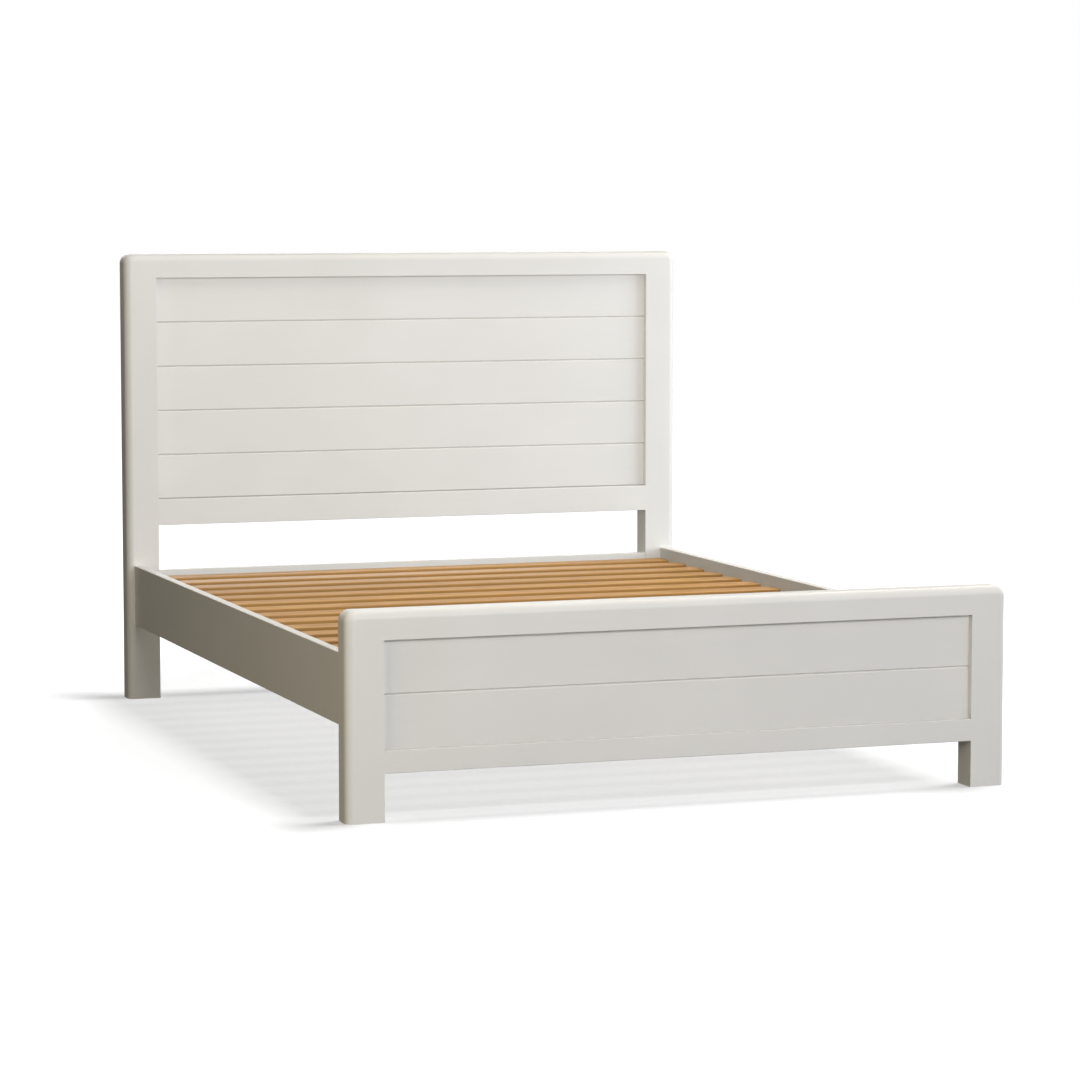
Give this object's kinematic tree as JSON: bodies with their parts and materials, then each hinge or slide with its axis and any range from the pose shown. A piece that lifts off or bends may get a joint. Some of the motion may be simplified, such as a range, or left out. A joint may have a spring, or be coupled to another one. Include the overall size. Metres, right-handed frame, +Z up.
{
  "type": "bed",
  "caption": "Painted panel bed frame with a tall headboard, a low footboard, plain side rails and a deck of spaced pine slats for a king-size mattress.",
  "frame": {"origin": "on the floor, under the middle of the overall length and width", "axes": "+Z up, +Y towards the headboard, +X to the right for someone looking from the footboard to the headboard"},
  "size_m": [1.594, 2.146, 1.207],
  "materials": {
    "painted_timber": "satin warm off-white paint over faintly grained timber",
    "pine_slat": "clear satin lacquer on planed pine",
    "pine_batten": "bare planed pine",
    "beech_dowel": "bare fluted beech",
    "zinc_steel": "bright zinc plate",
    "black_plastic": "matt moulded"
  },
  "bodies": {
    "root": {"headboard_left_post": "painted_timber", "headboard_right_post": "painted_timber", "headboard_top_rail": "painted_timber", "headboard_bottom_rail": "painted_timber", "headboard_cross_rail": "painted_timber", "footboard_left_post": "painted_timber", "footboard_right_post": "painted_timber", "footboard_top_rail": "painted_timber", "footboard_bottom_rail": "painted_timber", "footboard_cross_rail": "painted_timber", "headboard_plank_1": "painted_timber", "headboard_plank_2": "painted_timber", "headboard_plank_3": "painted_timber", "headboard_plank_4": "painted_timber", "headboard_plank_5": "painted_timber", "footboard_plank_1": "painted_timber", "footboard_plank_2": "painted_timber", "left_side_rail": "painted_timber", "right_side_rail": "painted_timber", "left_slat_ledge": "pine_batten", "right_slat_ledge": "pine_batten", "slat_01": "pine_slat", "slat_02": "pine_slat", "slat_03": "pine_slat", "slat_04": "pine_slat", "slat_05": "pine_slat", "slat_06": "pine_slat", "slat_07": "pine_slat", "slat_08": "pine_slat", "slat_09": "pine_slat", "slat_10": "pine_slat", "slat_11": "pine_slat", "slat_12": "pine_slat", "slat_13": "pine_slat", "slat_14": "pine_slat", "slat_15": "pine_slat", "centre_rail": "pine_batten", "centre_rail_hangers": "zinc_steel", "foot_end_centre_leg": "pine_batten", "head_end_centre_leg": "pine_batten", "centre_leg_bolts": "zinc_steel", "centre_leg_feet": "black_plastic", "rail_brackets": "zinc_steel", "bed_bolts": "zinc_steel", "threaded_inserts": "zinc_steel", "rail_dowels": "beech_dowel", "slat_screws": "zinc_steel", "ledge_screws": "zinc_steel", "bracket_screws": "zinc_steel"}
  },
  "joints": []
}
